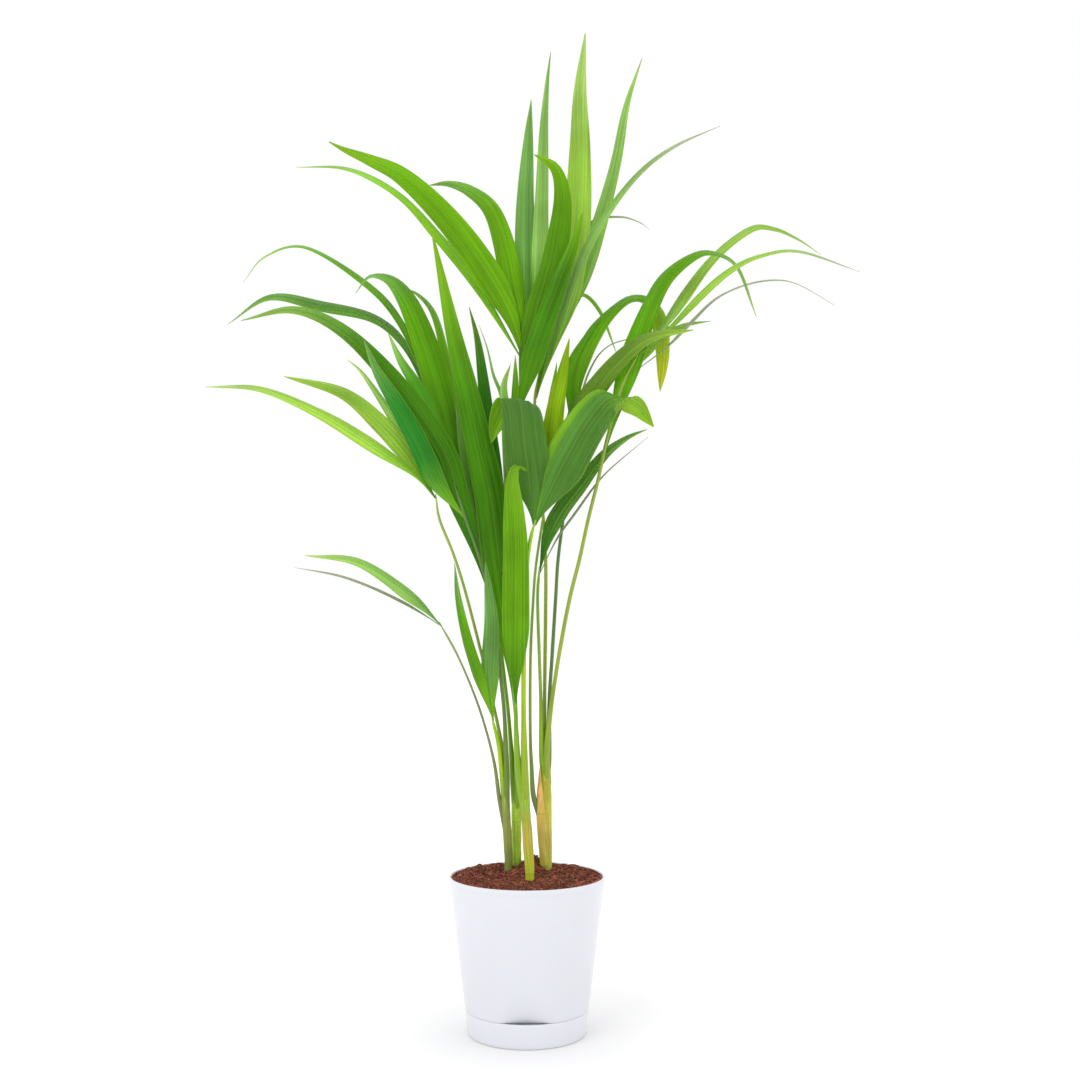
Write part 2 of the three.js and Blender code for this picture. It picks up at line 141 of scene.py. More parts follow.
class Builder:
    """Gathers one piece: its faces, and its points with a tint and a place on the surface for each."""

    def __init__(self):
        self.points = []
        self.tints = []
        self.places = []
        self.ribs = []  # 0 on a blade's midrib, 1 at its margins and on everything else
        self.faces = []
        self.slots = []

    def add(self, point, tint, place=(0.0, 0.0), rib=1.0):
        self.points.append(Vector(point))
        self.tints.append(tint)
        self.places.append(place)
        self.ribs.append(rib)
        return len(self.points) - 1

    def face(self, corners, slot=0):
        self.faces.append(corners)
        self.slots.append(slot)

    def loft(self, rings, slot=0):
        """Joins equal rings of points with four-sided faces."""
        size = len(rings[0])
        for low, high in zip(rings, rings[1:]):
            for k in range(size):
                n = (k + 1) % size
                self.face((low[k], low[n], high[n], high[k]), slot)

    def piece(self, name, materials, node, smooth=True):
        """Makes the object, which takes the place of one CAD node."""
        mesh = bpy.data.meshes.new(name)
        mesh.from_pydata([p * MM for p in self.points], [], self.faces)
        for m in materials:
            mesh.materials.append(m)
        mesh.polygons.foreach_set("material_index", self.slots)
        mesh.polygons.foreach_set("use_smooth", [smooth] * len(self.faces))
        tint = mesh.attributes.new("tint", "FLOAT_COLOR", "POINT")
        tint.data.foreach_set("color", [c for t in self.tints for c in (*t, 1.0)])
        rib = mesh.attributes.new("rib", "FLOAT", "POINT")
        rib.data.foreach_set("value", self.ribs)
        places = mesh.uv_layers.new(name="place")
        corners = [0] * len(mesh.loops)
        mesh.loops.foreach_get("vertex_index", corners)
        places.data.foreach_set("uv", [c for v in corners for c in self.places[v]])
        bm = bmesh.new()
        bm.from_mesh(mesh)
        bmesh.ops.recalc_face_normals(bm, faces=bm.faces)
        bm.to_mesh(mesh)
        bm.free()
        obj = bpy.data.objects.new(name, mesh)
        bpy.context.scene.collection.objects.link(obj)
        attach(obj, "root")
        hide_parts(node)
        return obj


def smoothstep(value, low, high):
    t = min(1.0, max(0.0, (value - low) / (high - low)))
    return t * t * (3 - 2 * t)


def mix(a, b, t):
    return a * (1 - t) + b * t


def along(values, t):
    """The value at a share of the way through evenly spaced ones."""
    place = min(0.9999, max(0.0, t)) * (len(values) - 1)
    k = int(place)
    return mix(values[k], values[min(k + 1, len(values) - 1)], smoothstep(place - k, 0, 1))


def even_points(points, count):
    """count + 1 evenly spaced points of a smooth curve through the given ones, and their directions."""
    knots = [Vector(p) for p in points]
    knots = [2 * knots[0] - knots[1], *knots, 2 * knots[-1] - knots[-2]]
    fine = []
    for a, b, c, d in zip(knots, knots[1:], knots[2:], knots[3:]):
        start, end = (c - a) / 2, (d - b) / 2
        for i in range(FINE_STEPS):
            t = i / FINE_STEPS
            fine.append(
                b * (2 * t**3 - 3 * t**2 + 1)
                + start * (t**3 - 2 * t**2 + t)
                + c * (3 * t**2 - 2 * t**3)
                + end * (t**3 - t**2)
            )
    fine.append(knots[-2])
    reached = [0.0]
    for a, b in zip(fine, fine[1:]):
        reached.append(reached[-1] + (b - a).length)
    found, k = [], 0
    for i in range(count + 1):
        goal = reached[-1] * i / count
        while k < len(fine) - 2 and reached[k + 1] < goal:
            k += 1
        span = reached[k + 1] - reached[k]
        found.append(fine[k].lerp(fine[k + 1], min(1.0, (goal - reached[k]) / span)))
    last = len(found) - 1
    ways = [(found[min(i + 1, last)] - found[max(i - 1, 0)]).normalized() for i in range(count + 1)]
    return found, ways, reached[-1]


def straight_length(points):
    return sum((Vector(b) - Vector(a)).length for a, b in zip(points, points[1:]))


def tube(builder, points, radius_at, tint_at, sides=12, step=6, slot=0, wobble=0.0, seed=0):
    """A closed round tube along a curve, its radius and tint set by the share of its length."""
    count = max(6, round(straight_length(points) / step))
    centres, ways, length = even_points(points, count)
    rings = []
    side = ways[0].orthogonal().normalized()
    for i, (centre, way) in enumerate(zip(centres, ways)):
        t = i / count
        side = (side - way * side.dot(way)).normalized()
        other = way.cross(side)
        radius = radius_at(t)
        ring = []
        for k in range(sides):
            angle = 2 * math.pi * k / sides
            out = side * math.cos(angle) + other * math.sin(angle)
            bump = wobble * noise.noise(Vector((out.x * 2, out.y * 2, t * length / 14 + seed)))
            place = (radius * angle, t * length)
            ring.append(builder.add(centre + out * (radius + bump), tint_at(t), place))
        rings.append(ring)
    builder.loft(rings, slot)
    for end, sign, t in ((0, -1, 0), (-1, 1, 1)):
        cap = centres[end] + ways[end] * sign * radius_at(t) * CAP_HEIGHT
        tip = builder.add(cap, tint_at(t))
        for k in range(sides):
            builder.face((rings[end][k], rings[end][(k + 1) % sides], tip), slot)


# ---- materials ----


class Nodes:
    """Short calls for building one material's node tree."""

    def __init__(self, name):
        self.material = bpy.data.materials.new(name)
        self.material.use_nodes = True
        self.tree = self.material.node_tree
        self.shader = self.tree.nodes["Principled BSDF"]

    def new(self, kind, **inputs):
        node = self.tree.nodes.new("ShaderNode" + kind)
        for key, value in inputs.items():
            socket = node.inputs[key.replace("_", " ")]
            if isinstance(value, bpy.types.NodeSocket):
                self.tree.links.new(value, socket)
            else:
                socket.default_value = value
        return node

    def link(self, value, socket):
        self.tree.links.new(value, self.shader.inputs[socket])

    def set(self, **values):
        for key, value in values.items():
            self.shader.inputs[key.replace("_", " ")].default_value = value

    def attribute(self, name):
        node = self.tree.nodes.new("ShaderNodeAttribute")
        node.attribute_name = name
        return node

    def surface(self, scale):
        """The place on the surface, in millimetres across and along, scaled."""
        place = self.tree.nodes.new("ShaderNodeUVMap")
        place.uv_map = "place"
        return self.new("Mapping", Vector=place.outputs["UV"], Scale=scale).outputs["Vector"]

    def solid(self, scale=(1, 1, 1)):
        """The point in space, in metres, scaled."""
        place = self.tree.nodes.new("ShaderNodeTexCoord")
        return self.new("Mapping", Vector=place.outputs["Object"], Scale=scale).outputs["Vector"]

    def noise(self, vector, scale, detail=3.0, roughness=0.5):
        node = self.new("TexNoise", Vector=vector, Scale=scale, Detail=detail, Roughness=roughness)
        return node.outputs["Fac"]

    def ramp(self, value, *stops):
        """Grey levels or colours along a value, from (position, level) pairs."""
        node = self.new("ValToRGB", Fac=value)
        stops = [(at, (c, c, c, 1) if isinstance(c, (int, float)) else (*c, 1)) for at, c in stops]
        marks = node.color_ramp.elements
        while len(marks) < len(stops):
            marks.new(0.5)
        for mark, (at, level) in zip(marks, stops):
            mark.position = at
            mark.color = level
        return node.outputs["Color"]

    def blend(self, kind, factor, a, b):
        node = self.tree.nodes.new("ShaderNodeMix")
        node.data_type = "RGBA"
        node.blend_type = kind
        for socket, value in ((node.inputs[0], factor), (node.inputs[6], a), (node.inputs[7], b)):
            if isinstance(value, bpy.types.NodeSocket):
                self.tree.links.new(value, socket)
            else:
                socket.default_value = value if isinstance(value, (int, float)) else (*value, 1)
        return node.outputs[2]

    def bump(self, height, distance, strength=1.0, below=None):
        node = self.new("Bump", Height=height, Distance=distance, Strength=strength)
        if below is not None:
            self.tree.links.new(below, node.inputs["Normal"])
        return node.outputs["Normal"]


def leaf_material():
    n = Nodes("palm_leaf")
    fibres = n.noise(n.surface((3.2, 0.02, 1)), 1.0, 2.0)
    veins = n.noise(n.surface((1.3, 0.006, 1)), 1.0, 1.0)
    patches = n.noise(n.solid(), 22.0, 3.0)
    tint = n.attribute("tint").outputs["Color"]
    shade = n.blend("MULTIPLY", 1.0, tint, n.ramp(fibres, (0.3, 0.9), (0.7, 1.1)))
    shade = n.blend("MULTIPLY", 1.0, shade, n.ramp(veins, (0.36, 0.8), (0.52, 1.0), (0.64, 1.2)))
    shade = n.blend("MULTIPLY", 1.0, shade, n.ramp(patches, (0.3, 0.82), (0.7, 1.16)))
    rib = n.attribute("rib").outputs["Fac"]
    line = n.ramp(rib, (0.0, 0.2), (0.06, 0.0))
    shade = n.blend("MIX", line, shade, colour("8fb83a"))
    margin = n.ramp(rib, (0.9, 0.0), (1.0, 0.25))
    shade = n.blend("MIX", margin, shade, colour("8fae4a"))
    n.link(shade, "Base Color")
    n.link(n.ramp(patches, (0.3, 0.38), (0.7, 0.54)), "Roughness")
    low = n.bump(fibres, 0.0002, 0.5)
    n.link(n.bump(veins, 0.0004, 0.5, low), "Normal")
    n.set(Specular_IOR_Level=0.34, Specular_Tint=(0.8, 1.0, 0.3, 1))
    n.set(Subsurface_Weight=0.25, Subsurface_Scale=0.002)
    n.set(Subsurface_Radius=(0.7, 1.0, 0.2))
    return n.material


def stalk_material():
    n = Nodes("palm_stalk")
    streaks = n.noise(n.surface((1.6, 0.03, 1)), 1.0, 2.0)
    specks = n.noise(n.surface((0.9, 0.35, 1)), 1.0, 4.0, 0.6)
    tint = n.attribute("tint").outputs["Color"]
    shade = n.blend("MULTIPLY", 1.0, tint, n.ramp(streaks, (0.3, 0.78), (0.7, 1.2)))
    spots = n.ramp(specks, (0.62, 0.0), (0.7, 0.5))
    shade = n.blend("MIX", spots, shade, colour("5d5a24"))
    n.link(shade, "Base Color")
    n.link(n.ramp(specks, (0.3, 0.3), (0.7, 0.48)), "Roughness")
    n.link(n.bump(streaks, 0.0004, 0.5), "Normal")
    n.set(Specular_IOR_Level=0.4, Specular_Tint=(0.9, 1.0, 0.5, 1))
    n.set(Subsurface_Weight=0.15, Subsurface_Scale=0.002, Subsurface_Radius=(0.8, 1.0, 0.2))
    return n.material


def cane_material():
    n = Nodes("palm_cane")
    streaks = n.noise(n.surface((1.1, 0.025, 1)), 1.0, 3.0)
    blotches = n.noise(n.solid((1, 1, 0.5)), 95.0, 3.0)
    specks = n.noise(n.surface((1.3, 0.7, 1)), 1.0, 3.0, 0.6)
    rings = n.noise(n.surface((0.004, 0.22, 1)), 1.0, 2.0)
    tint = n.attribute("tint").outputs["Color"]
    shade = n.blend("MULTIPLY", 1.0, tint, n.ramp(streaks, (0.3, 0.84), (0.7, 1.34)))
    shade = n.blend("MULTIPLY", 1.0, shade, n.ramp(blotches, (0.35, 0.88), (0.65, 1.18)))
    shade = n.blend("MIX", n.ramp(rings, (0.6, 0.0), (0.66, 0.3)), shade, colour("9b8a48"))
    shade = n.blend("MIX", n.ramp(specks, (0.66, 0.0), (0.71, 0.85)), shade, colour("4a2c16"))
    n.link(shade, "Base Color")
    n.link(n.ramp(blotches, (0.3, 0.42), (0.7, 0.62)), "Roughness")
    low = n.bump(streaks, 0.0005, 0.6)
    n.link(n.bump(rings, 0.0006, 0.4, low), "Normal")
    n.set(Specular_IOR_Level=0.4)
    return n.material


def soil_material():
    n = Nodes("coco_peat")
    grains = n.noise(n.solid(), 900.0, 4.0, 0.7)
    crumbs = n.noise(n.solid(), 260.0, 4.0, 0.65)
    patches = n.noise(n.solid(), 60.0, 3.0)
    tint = n.attribute("tint").outputs["Color"]
    shade = n.blend("MULTIPLY", 1.0, tint, n.ramp(grains, (0.35, 0.5), (0.65, 1.5)))
    shade = n.blend("MULTIPLY", 1.0, shade, n.ramp(crumbs, (0.38, 0.42), (0.6, 1.3)))
    shade = n.blend("MULTIPLY", 1.0, shade, n.ramp(patches, (0.35, 0.8), (0.65, 1.15)))
    n.link(shade, "Base Color")
    n.link(n.ramp(grains, (0.3, 0.85), (0.7, 1.0)), "Roughness")
    low = n.bump(grains, 0.0008, 0.8)
    n.link(n.bump(crumbs, 0.0025, 0.9, low), "Normal")
    n.set(Specular_IOR_Level=0.2)
    return n.material


def plastic_material(name, base):
    n = Nodes(name)
    haze = n.noise(n.solid(), 14.0, 3.0)
    grain = n.noise(n.solid(), 1400.0, 2.0)
    shade = n.blend("MULTIPLY", 1.0, base, n.ramp(haze, (0.3, 0.975), (0.7, 1.0)))
    n.link(shade, "Base Color")
    n.link(n.ramp(haze, (0.3, 0.28), (0.7, 0.34)), "Roughness")
    n.link(n.bump(grain, 0.00004, 0.2), "Normal")
    n.set(Specular_IOR_Level=0.4, Subsurface_Weight=0.12, Subsurface_Scale=0.003)
    n.set(Coat_Weight=0.15, Coat_Roughness=0.12)
    return n.material


LEAF = leaf_material()
STALK = stalk_material()
CANE = cane_material()
SOIL = soil_material()
POT_PLASTIC = plastic_material("white_pot_plastic", colour("dfe0e7"))
TRAY_PLASTIC = plastic_material("white_tray_plastic", colour("e2e3ea"))

# ---- pot ----

WHITE = colour("f0f1f6")


def wall_radius(height):
    return SEAM_RADIUS + (RIM_RADIUS - SEAM_RADIUS) * (height - SEAM_HEIGHT) / (POT_HEIGHT - SEAM_HEIGHT)


def scoop(x, height):
    """How far the dish at the front pushes the wall back, deepest at the seam."""
    up = max(0.0, height - SEAM_HEIGHT) / SCOOP_HEIGHT
    return SCOOP_DEPTH * max(0.0, 1 - (x / SCOOP_HALF_WIDTH) ** 2 - up) ** SCOOP_CURVE


def divided(profile, step):
    """The profile with its long lines cut into short ones."""
    out = [profile[0]]
    for (r0, z0), (r1, z1) in zip(profile, profile[1:]):
        count = max(1, math.ceil(math.hypot(r1 - r0, z1 - z0) / step))
        out += [(mix(r0, r1, i / count), mix(z0, z1, i / count)) for i in range(1, count + 1)]
    return out


def turned(builder, profile, dished=False):
    """A closed solid of revolution. Where it is dished, the scoop pushes its front wall in."""
    rings = []
    for radius, height in profile[1:-1]:
        ring = []
        for k in range(POT_SIDES):
            angle = 2 * math.pi * k / POT_SIDES
            x, y = radius * math.sin(angle), -radius * math.cos(angle)
            if dished and y < 0 and radius > INNER_EDGE:
                y += scoop(x, height) * smoothstep(radius, INNER_EDGE, SPIGOT_RADIUS - WALL)
            ring.append(builder.add((x, y, height), WHITE, (radius * angle, height)))
        rings.append(ring)
    builder.loft(rings)
    for ring, height in ((rings[0], profile[0][1]), (rings[-1], profile[-1][1])):
        centre = builder.add((0, 0, height), WHITE)
        for k in range(POT_SIDES):
            builder.face((ring[k], ring[(k + 1) % POT_SIDES], centre))


def make_pot():
    body = Builder()
    outline = [
        (0, FOOT_BOTTOM),
        (FOOT_RADIUS - 3, FOOT_BOTTOM),
        (FOOT_RADIUS, FLOOR_TOP - 2),
        (SPIGOT_RADIUS - WALL, FLOOR_TOP - 2),
        (SPIGOT_RADIUS - WALL, SPIGOT_BOTTOM),
        (SPIGOT_RADIUS, SPIGOT_BOTTOM),
        (SPIGOT_RADIUS, SEAM_HEIGHT + 0.05),
        (SEAM_RADIUS - 0.3, SEAM_HEIGHT + 0.05),
        (SEAM_RADIUS - 0.08, SEAM_HEIGHT + 0.12),
        (wall_radius(SEAM_HEIGHT + 0.35), SEAM_HEIGHT + 0.35),
        (wall_radius(POT_HEIGHT - 4.2), POT_HEIGHT - 4.2),
        (RIM_RADIUS - 0.25, POT_HEIGHT - 3.7),
        (RIM_RADIUS - 0.05, POT_HEIGHT - 3.2),
        (RIM_RADIUS, POT_HEIGHT - 2.6),
        (RIM_RADIUS, POT_HEIGHT - 1.0),
        (RIM_RADIUS - 0.2, POT_HEIGHT - 0.45),
        (RIM_RADIUS - 0.6, POT_HEIGHT - 0.1),
        (RIM_RADIUS - 1.0, POT_HEIGHT),
        (RIM_RADIUS - 1.5, POT_HEIGHT - 0.12),
        (RIM_RADIUS - 1.9, POT_HEIGHT - 0.5),
        (RIM_RADIUS - 2.2, POT_HEIGHT - 1.1),
        (SEAM_RADIUS - WALL, FLOOR_TOP),
        (FOOT_RADIUS - WALL, FLOOR_TOP),
        (FOOT_RADIUS - 3 - WALL, FOOT_BOTTOM + WALL),
        (0, FOOT_BOTTOM + WALL),
    ]
    turned(body, divided(outline, 2.5), dished=True)
    obj = body.piece("pot_shell", [POT_PLASTIC], "pot_body")
    drill_holes(obj)


def drill_holes(obj):
    """The drain holes in the floor and in the foot of the pot."""
    bm = bmesh.new()
    spots = [(0, 0, FOOT_BOTTOM, 2.5)]  # x, y, z and radius of each hole
    for i in range(6):
        angle = i * math.pi / 3
        for circle, height in ((9, FOOT_BOTTOM), (31, FLOOR_TOP)):
            spots.append((circle * math.cos(angle), circle * math.sin(angle), height, 2))
    for x, y, z, radius in spots:
        place = Matrix.Translation(Vector((x, y, z)) * MM)
        bmesh.ops.create_cone(bm, cap_ends=True, segments=20, radius1=radius * MM, radius2=radius * MM,
                              depth=10 * MM, matrix=place)
    mesh = bpy.data.meshes.new("drills")
    bm.to_mesh(mesh)
    bm.free()
    drills = bpy.data.objects.new("drills", mesh)
    bpy.context.scene.collection.objects.link(drills)
    cut = obj.modifiers.new("holes", "BOOLEAN")
    cut.operation = "DIFFERENCE"
    cut.solver = "EXACT"
    cut.object = drills
    bpy.context.view_layer.update()
    made = bpy.data.meshes.new_from_object(obj.evaluated_get(bpy.context.evaluated_depsgraph_get()))
    obj.modifiers.clear()
    obj.data = made
    bpy.data.objects.remove(drills)


def make_tray():
    tray = Builder()
    top = SEAM_HEIGHT - 0.1
    outline = [
        (0, 0),
        (TRAY_FOOT_RADIUS, 0),
        (TRAY_FOOT_RADIUS + 0.7, 0.15),
        (TRAY_FOOT_RADIUS + 1.3, 0.5),
        (TRAY_FOOT_RADIUS + 1.7, 1.1),
        (TRAY_FOOT_RADIUS + 1.95, 1.9),
        (SEAM_RADIUS - 0.02, top - 0.3),
        (SEAM_RADIUS - 0.08, top - 0.1),
        (SEAM_RADIUS - 0.25, top),
        (SEAM_RADIUS - TRAY_WALL + 0.35, top),
        (SEAM_RADIUS - TRAY_WALL + 0.1, top - 0.2),
        (SEAM_RADIUS - TRAY_WALL, top - 0.6),
        (TRAY_FOOT_RADIUS, TRAY_FLOOR + 1),
        (TRAY_FOOT_RADIUS - 0.5, TRAY_FLOOR + 0.3),
        (TRAY_FOOT_RADIUS - 1.5, TRAY_FLOOR),
        (0, TRAY_FLOOR),
    ]
    turned(tray, divided(outline, 3))
    tray.piece("tray_shell", [TRAY_PLASTIC], "water_tray")


# ---- soil ----

SOIL_TINTS = [colour(c) for c in ("7a4030", "8c4c38", "6a3628", "9a5a44", "583024", "a46a50")]
MOUND = Vector((5, 10))  # the soil is heaped highest here, behind the front cane


def soil_height(x, y):
    """The height of the soil's surface: level at the wall, heaped at the mound, and lumpy behind it."""
    radius = math.hypot(x, y)
    from_mound = (Vector((x, y)) - MOUND).length
    heap = 8.5 * (1 - smoothstep(from_mound, 0, 17)) + 5.5 * (1 - smoothstep(from_mound, 4, 48))
    spot = Vector((x, y, 0))
    rough = 0.55 * noise.noise(spot * 0.09)
    rough = rough + 0.45 * noise.noise(spot * 0.3)
    rough = rough + 0.35 * noise.noise(spot * 0.8)
    lumps = max(0.0, noise.noise(spot * 0.16 + Vector((3, 9, 4))) - 0.1) * 5 * smoothstep(y, -18, 6)
    inside = 1 - smoothstep(radius, 50, 59.5)
    return SOIL_EDGE + 0.4 + heap + (1.4 * rough + lumps) * (0.4 + 0.6 * inside)


def soil_radius(height):
    return wall_radius(height) - WALL - 0.7


def make_soil():
    rng = random.Random(SEED)
    soil = Builder()
    rings = []
    bottom = FOOT_BOTTOM + WALL + SOIL_GAP
    levels = [(FOOT_RADIUS - 3 - WALL - 0.5, bottom), (FOOT_RADIUS - WALL - 0.5, FLOOR_TOP + SOIL_GAP)]
    levels += [(soil_radius(FLOOR_TOP), FLOOR_TOP + SOIL_GAP)]
    levels += [(soil_radius(z), z) for z in SOIL_LEVELS]
    for radius, height in levels:
        ring = []
        for k in range(SOIL_SIDES):
            angle = 2 * math.pi * k / SOIL_SIDES
            x, y = radius * math.sin(angle), -radius * math.cos(angle)
            if y < 0 and radius > INNER_EDGE:
                y += scoop(x, height)
            ring.append(soil.add((x, y, height), rng.choice(SOIL_TINTS)))
        rings.append(ring)
    for i in range(SOIL_RINGS):
        radius = soil_radius(SOIL_EDGE) * (1 - i / SOIL_RINGS)
        ring = []
        for k in range(SOIL_SIDES):
            angle = 2 * math.pi * k / SOIL_SIDES
            x, y = radius * math.sin(angle), -radius * math.cos(angle)
            ring.append(soil.add((x, y, soil_height(x, y)), rng.choice(SOIL_TINTS)))
        rings.append(ring)
    soil.loft(rings)
    for ring, height in ((rings[0], bottom), (rings[-1], soil_height(0, 0))):
        centre = soil.add((0, 0, height), SOIL_TINTS[0])
        for k in range(SOIL_SIDES):
            soil.face((ring[k], ring[(k + 1) % SOIL_SIDES], centre))
    for _ in range(CRUMBS):
        add_crumb(soil, rng)
    for _ in range(FIBRES):
        add_fibre(soil, rng)
    soil.piece("soil_heap", [SOIL], "potting_soil", smooth=False)


def spot_on_soil(rng, margin=1.5):
    radius = (SOIL_RADIUS - margin) * math.sqrt(rng.random())
    angle = rng.uniform(0, 2 * math.pi)
    x, y = radius * math.cos(angle), radius * math.sin(angle)
    return Vector((x, y, soil_height(x, y)))


def add_crumb(soil, rng):
    """A lump of peat: a small crumpled octahedron."""
    centre = spot_on_soil(rng)
    size = rng.uniform(0.3, 0.85) * (1 if rng.random() < 0.93 else 1.6)
    tint = rng.choice(SOIL_TINTS) * rng.uniform(0.6, 1.25)
    angle = rng.uniform(0, 6.28)
    axis = Vector((rng.uniform(-1, 1), rng.uniform(-1, 1), 1)).normalized()
    turn = Matrix.Rotation(angle, 3, axis)
    corners = []
    for way in ((1, 0, 0), (0, 1, 0), (-1, 0, 0), (0, -1, 0), (0, 0, 1), (0, 0, -1)):
        reach = size * rng.uniform(0.6, 1.2)
        corners.append(soil.add(centre + turn @ Vector(way) * reach, tint))
    for k in range(4):
        n = (k + 1) % 4
        soil.face((corners[k], corners[n], corners[4]))
        soil.face((corners[n], corners[k], corners[5]))


def add_fibre(soil, rng):
    """A coconut fibre: a thin three-sided strand that lies on the soil."""
    centre = spot_on_soil(rng, 5)
    way = Vector((rng.uniform(-1, 1), rng.uniform(-1, 1), rng.uniform(-0.15, 0.25))).normalized()
    side = way.orthogonal().normalized()
    length = rng.uniform(2, 6)
    tint = rng.choice(SOIL_TINTS) * rng.uniform(0.9, 1.9)
    rings = []
    for i in range(4):
        t = i / 3
        bend = side * math.sin(t * 3) * length * 0.12
        middle = centre + way * (t - 0.5) * length + bend + Vector((0, 0, 0.5))
        rings.append([
            soil.add(middle + (side * math.cos(a) + way.cross(side) * math.sin(a)) * FIBRE_RADIUS, tint)
            for a in (0, 2.1, 4.2)
        ])
    soil.loft(rings)
    soil.face(tuple(rings[0]))
    soil.face(tuple(rings[-1]))


# ---- canes ----

# Each has its radius, its points from the foot in the soil to the top, and its tints in the same order.
CANES = {
    "left": (3.4, [(-15, 4, 88), (-15, 4, 140), (-17, 4, 175), (-18.4, 4, 206)],
             ["6c7030", "6f7c34", "848e3c", "8ca438"]),
    "back": (3.9, [(-8.6, 14, 88), (-8.6, 14, 140), (-8.8, 12.5, 175), (-9, 11, 200)],
             ["98bc2e", "9ac82a", "a4c632", "a2c03c"]),
    "front": (3.9, [(3, -22, 88), (2.4, -22, 130), (0.2, -21.6, 165), (-3.4, -20, 209)],
              ["a8b814", "aec018", "aab420", "a69a30", "86a428", "8ca834"]),
    "right": (4.4, [(16, 4, 88), (15.7, 4, 140), (15.2, 4, 185), (15.2, 4, 222)],
              ["9aa632", "a6ae36", "b6aa3c", "b0ac34", "a4b424"]),
}


def tint_run(codes):
    tints = [colour(c) for c in codes]
    return lambda t: along(tints, t)


def make_canes():
    for number, (name, (radius, points, codes)) in enumerate(CANES.items()):
        cane = Builder()
        foot, top = points[0][2], points[-1][2]

        def radius_at(t, radius=radius, foot=foot, top=top):
            height = mix(foot, top, t)
            waist = -0.1 * (1 - smoothstep(height, 122, 150))
            taper = 0.4 * smoothstep(height, top - 26, top)
            past_ring = (height * 0.9 + number * 17) % SHEATH_SPACING
            sheath = 0.07 * (1 - smoothstep(past_ring, SHEATH_SPACING - 8, SHEATH_SPACING))
            return radius * (0.96 + waist - taper + sheath)

        tube(cane, points, radius_at, tint_run(codes), sides=20, step=2, wobble=0.45, seed=number * 5)
        if name == "right":
            add_old_sheath(cane)
        cane.piece("stem_" + name, [CANE], "cane_" + name)


SHEATH_CODES = ["aaa83c", "bcaa48", "ccac4c", "cea65a", "b89c50"]


def add_old_sheath(cane):
    """The dry pointed tip of an old leaf sheath, which stands off the stem."""
    points = [(14.6, 3, 132), (12.6, 2, 156), (11.2, 1.2, 176), (10.4, 0.6, 194), (10.6, 0, 212)]

    def radius_at(t):
        return 0.3 + OLD_SHEATH_RADIUS * min(1, 2.2 * (1 - t)) ** 0.9

    tube(cane, points, radius_at, tint_run(SHEATH_CODES), sides=14, step=2, wobble=0.4, seed=31)


# ---- fronds ----


def leaf(width, turn, fade, *path, looks):
    """One leaflet: its width, the way it faces, how late it narrows and the points of its midrib.

    looks names the tints of its front at the base, middle and tip, that of its back, and
    then, where it has one, that of its left margin.
    """
    turns = turn if isinstance(turn, tuple) else (turn,)
    return {"width": width, "turns": turns, "fade": fade, "path": path, "looks": looks}


def folded(width, across, fade, *path, looks):
    """A leaflet that folds over. across gives the way to one of its edges at its base and at its tip."""
    return {"width": width, "across": across, "fade": fade, "path": path, "looks": looks}


def blade_shape(t, fade):
    """The share of its width that a blade has at a share of its length."""
    grown = BASE_WIDTH + (1 - BASE_WIDTH) * smoothstep(t, 0, WIDE_BY)
    return grown * (1 - TIP_NARROWING * t**fade)


def across_blade(item, t, way):
    """The direction from one edge of a blade to the other, square to its midrib."""
    if "across" in item:
        across = Vector(item["across"][0]).lerp(Vector(item["across"][1]), t)
        return (across - way * across.dot(way)).normalized()
    level = way.cross(Vector((0, 1, 0))).normalized()
    back = level.cross(way)
    turn = math.radians(along(item["turns"], t))
    return level * math.cos(turn) + back * math.sin(turn)


COLUMNS = [k / HALF_COLUMNS for k in range(-HALF_COLUMNS, HALF_COLUMNS + 1)]


